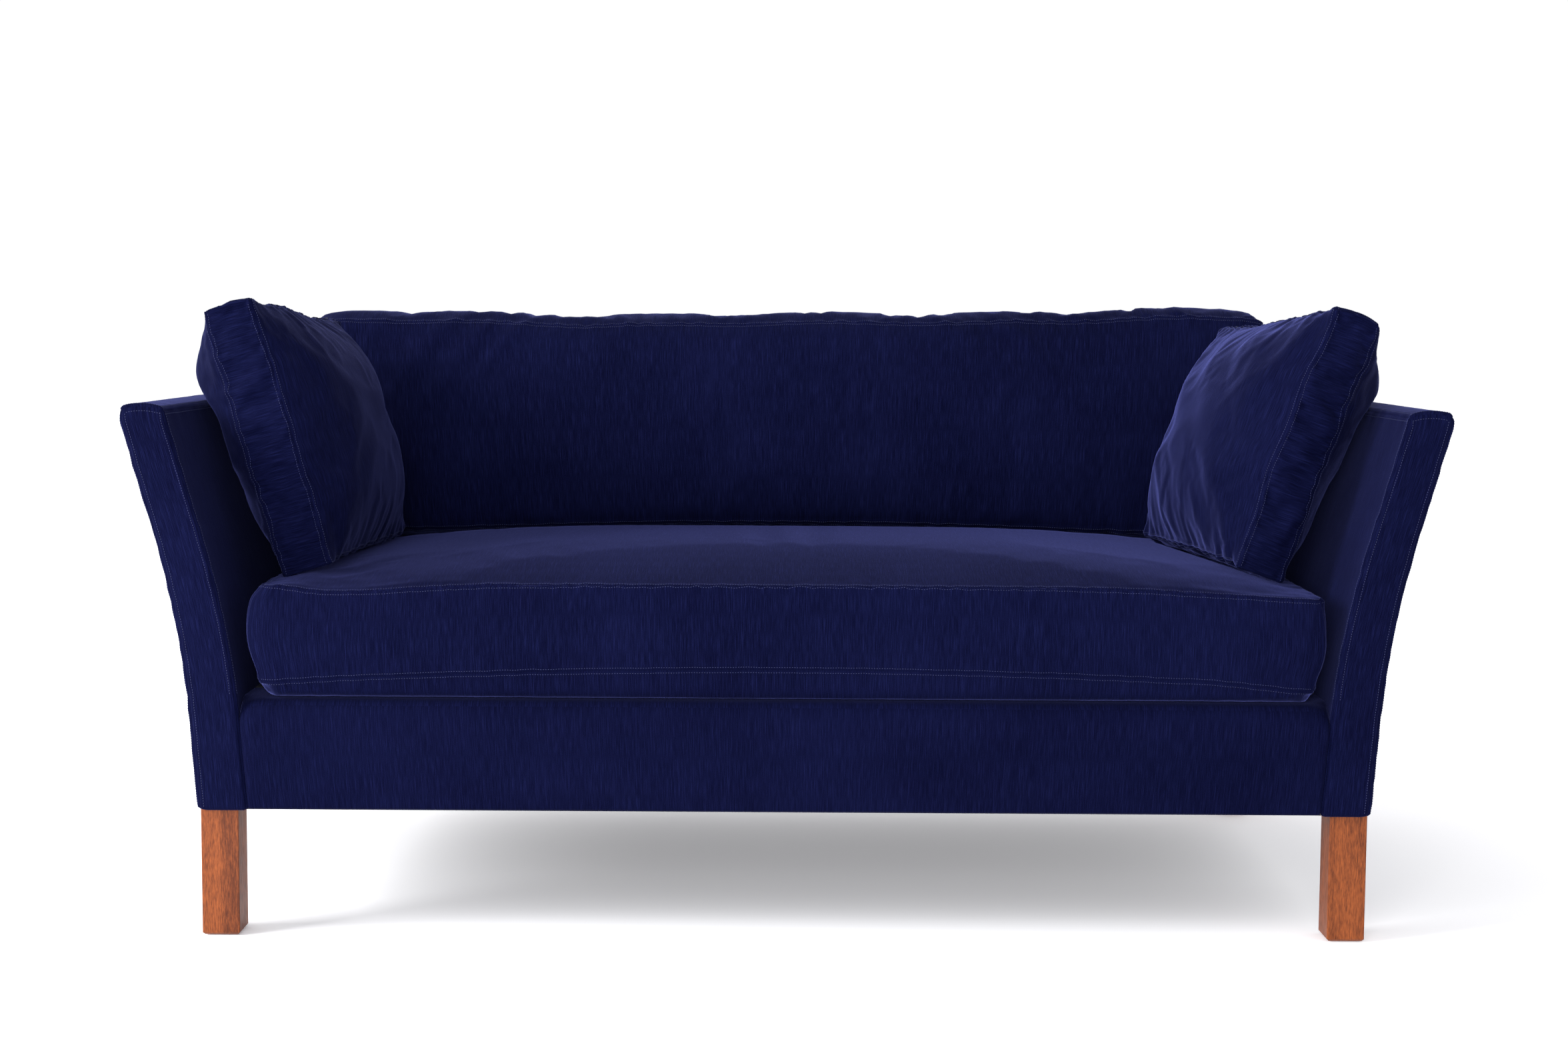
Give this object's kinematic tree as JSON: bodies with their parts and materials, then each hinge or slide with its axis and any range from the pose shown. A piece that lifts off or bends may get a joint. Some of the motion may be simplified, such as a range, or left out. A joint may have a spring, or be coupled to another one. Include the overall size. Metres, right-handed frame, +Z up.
{
  "type": "sofa",
  "caption": "Two-seat sofa in navy velvet with outward-curved slim arms, loose seat, back and side cushions, and square wooden legs.",
  "frame": {"origin": "on the floor, under the middle of the sofa", "axes": "+X along the sofa's length, to the right seen from the front; +Y from the front to the back; +Z up"},
  "size_m": [1.7552, 0.9, 0.8521],
  "materials": {
    "velvet": "deep navy velvet with a short cut pile",
    "leg_wood": "reddish-brown stained hardwood, satin",
    "frame_wood": "planed softwood, unfinished",
    "dowel_wood": "fluted beech, unfinished",
    "hardboard": "pressed hardboard",
    "zinc_steel": "zinc plated",
    "spring_steel": "drawn wire, oiled",
    "glide_plastic": "dark moulded plastic",
    "webbing": "woven elastic strap",
    "padding": "needled polyester felt",
    "foam": "open-cell foam",
    "fibre_filling": "fibre filling in an inner bag",
    "platform_cloth": "plain woven navy cloth",
    "dust_cloth": "non-woven black cloth",
    "zip_tape": "navy woven tape with a coil chain",
    "zip_slider": "dark enamelled die casting"
  },
  "bodies": {
    "frame": {"left_arm_cover": "velvet", "right_arm_cover": "velvet", "left_arm_front_panel": "velvet", "right_arm_front_panel": "velvet", "front_border_cover": "velvet", "inside_back_cover": "velvet", "outside_back_cover": "velvet", "front_left_leg": "leg_wood", "front_right_leg": "leg_wood", "rear_left_leg": "leg_wood", "rear_right_leg": "leg_wood", "front_seat_rail": "frame_wood", "rear_seat_rail": "frame_wood", "centre_stretcher": "frame_wood", "side_seat_rails": "frame_wood", "corner_blocks": "frame_wood", "left_arm_posts": "frame_wood", "right_arm_posts": "frame_wood", "left_arm_top_rail": "frame_wood", "right_arm_top_rail": "frame_wood", "back_posts": "frame_wood", "back_lower_rail": "frame_wood", "back_top_rail": "frame_wood", "back_centre_upright": "frame_wood", "frame_dowels": "dowel_wood", "left_arm_boards": "hardboard", "right_arm_boards": "hardboard", "corner_block_screws": "zinc_steel", "arm_bolts": "zinc_steel", "leg_bolts": "zinc_steel", "leg_inserts": "zinc_steel", "seat_springs": "spring_steel", "spring_clips": "spring_steel", "spring_tie_wires": "spring_steel", "leg_glides": "glide_plastic", "back_webbing": "webbing", "deck_pad": "padding", "front_border_padding": "padding", "left_arm_padding": "padding", "right_arm_padding": "padding", "back_padding": "padding", "platform_cloth": "platform_cloth", "dust_cover": "dust_cloth"},
    "seat_cushion": {"seat_cushion_cover": "velvet", "seat_cushion_core": "foam", "seat_cushion_zip": "zip_tape"},
    "seat_zip_slider": {"seat_zip_slider": "zip_slider"},
    "back_cushion": {"back_cushion_cover": "velvet", "back_cushion_filling": "fibre_filling", "back_cushion_zip": "zip_tape"},
    "back_zip_slider": {"back_zip_slider": "zip_slider"},
    "left_side_cushion": {"left_side_cushion_cover": "velvet", "left_side_cushion_filling": "fibre_filling", "left_side_cushion_zip": "zip_tape"},
    "left_side_zip_slider": {"left_side_zip_slider": "zip_slider"},
    "right_side_cushion": {"right_side_cushion_cover": "velvet", "right_side_cushion_filling": "fibre_filling", "right_side_cushion_zip": "zip_tape"},
    "right_side_zip_slider": {"right_side_zip_slider": "zip_slider"}
  },
  "joints": [
    {"name": "seat_cushion_lift", "type": "slide", "parent": "frame", "child": "seat_cushion", "axis": [0, 0, 1], "range_m": [0, 0.42]},
    {"name": "back_cushion_lift", "type": "slide", "parent": "seat_cushion", "child": "back_cushion", "axis": [0, 0, 1], "range_m": [0, 0.3]},
    {"name": "left_side_cushion_lift", "type": "slide", "parent": "seat_cushion", "child": "left_side_cushion", "axis": [0, 0, 1], "range_m": [0, 0.3]},
    {"name": "right_side_cushion_lift", "type": "slide", "parent": "seat_cushion", "child": "right_side_cushion", "axis": [0, 0, 1], "range_m": [0, 0.3]},
    {"name": "seat_zip_run", "type": "slide", "parent": "seat_cushion", "child": "seat_zip_slider", "axis": [1, 0, 0], "range_m": [0, 1.262]},
    {"name": "back_zip_run", "type": "slide", "parent": "back_cushion", "child": "back_zip_slider", "axis": [1, 0, 0], "range_m": [0, 0.662]},
    {"name": "left_side_zip_run", "type": "slide", "parent": "left_side_cushion", "child": "left_side_zip_slider", "axis": [-0.2833, 0.0198, 0.9588], "range_m": [0, 0.296]},
    {"name": "right_side_zip_run", "type": "slide", "parent": "right_side_cushion", "child": "right_side_zip_slider", "axis": [0.3468, 0.0487, 0.9367], "range_m": [0, 0.296]}
  ]
}
